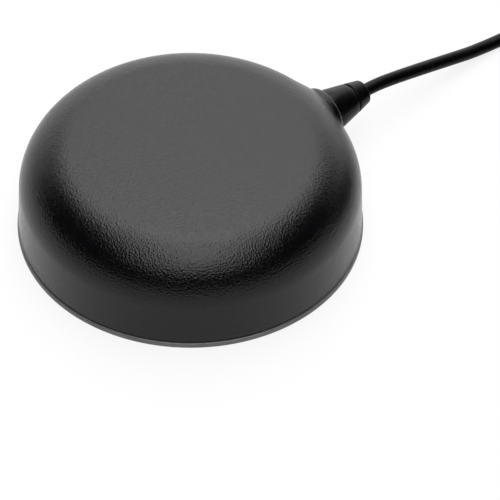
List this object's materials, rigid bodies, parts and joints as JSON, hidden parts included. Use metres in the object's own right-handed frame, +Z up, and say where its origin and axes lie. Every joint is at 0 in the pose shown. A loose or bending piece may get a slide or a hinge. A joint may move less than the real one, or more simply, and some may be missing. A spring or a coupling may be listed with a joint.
{
  "type": "gnss receiver",
  "caption": "Round black puck-shaped GNSS receiver with a domed cover on a metal rim, a moulded cable boot and a thin lead ending in a small round screw connector.",
  "frame": {"origin": "centre of the puck's underside, on the surface it stands on", "axes": "+Z up through the cover's crown; the lead leaves 39.2 degrees from +X towards +Y"},
  "size_m": [0.1495, 0.0941, 0.0214],
  "materials": {
    "radome_plastic": "satin",
    "zinc_base": "satin",
    "seal_rubber": "matte",
    "pad_rubber": "matte",
    "boot_rubber": "satin",
    "grip_rubber": "satin",
    "cable_jacket": "gloss",
    "steel": "satin",
    "magnet_plating": "gloss",
    "board": "satin",
    "module_board": "satin",
    "shield_metal": "satin",
    "ceramic": "matte",
    "silver": "satin",
    "gold": "gloss",
    "connector_plastic": "matte",
    "chip_plastic": "matte",
    "wire_red": "satin",
    "wire_black": "satin",
    "wire_green": "satin",
    "wire_white": "satin",
    "nickel": "gloss",
    "tie_fabric": "matte"
  },
  "bodies": {
    "receiver": {"radome": "radome_plastic", "base_plate": "zinc_base", "housing_seal": "seal_rubber", "underside_pad": "pad_rubber", "main_board": "board", "antenna_board": "board", "receiver_module_board": "module_board", "correction_module_board": "module_board", "receiver_module_lid": "shield_metal", "correction_module_lid": "shield_metal", "amplifier_shield": "shield_metal", "lower_patch": "ceramic", "upper_patch": "ceramic", "lower_patch_electrode": "silver", "upper_patch_electrode": "silver", "board_header": "chip_plastic", "interface_chip": "chip_plastic", "voltage_regulator": "chip_plastic", "power_inductor": "chip_plastic", "input_capacitor": "connector_plastic", "wire_connector": "connector_plastic", "inner_wire_1": "wire_red", "inner_wire_2": "wire_black", "inner_wire_3": "wire_green", "inner_wire_4": "wire_white", "cable_ferrule": "nickel", "cable_boot": "boot_rubber", "cable_lead": "cable_jacket", "cable_tail": "cable_jacket", "cable_coil": "cable_jacket", "coil_tie": "tie_fabric", "plug_grip": "grip_rubber", "plug_insert": "chip_plastic", "housing_screw_1": "steel", "stack_screw_1": "steel", "spacer_1": "steel", "feed_pin_1": "silver", "contact_pin_1": "gold", "housing_screw_2": "steel", "stack_screw_2": "steel", "spacer_2": "steel", "feed_pin_2": "silver", "contact_pin_2": "gold", "housing_screw_3": "steel", "stack_screw_3": "steel", "spacer_3": "steel", "feed_pin_3": "silver", "contact_pin_3": "gold", "housing_screw_4": "steel", "stack_screw_4": "steel", "spacer_4": "steel", "feed_pin_4": "silver", "contact_pin_4": "gold", "magnet_1": "magnet_plating", "magnet_2": "magnet_plating", "magnet_3": "magnet_plating"},
    "coupling_nut": {"coupling_nut": "nickel"}
  },
  "joints": [
    {"name": "coupling_nut_turn", "type": "hinge", "parent": "receiver", "child": "coupling_nut", "pos_m": [0.0727, 0.001, 0.0052], "axis": [-1, 0, 0], "continuous": true}
  ]
}
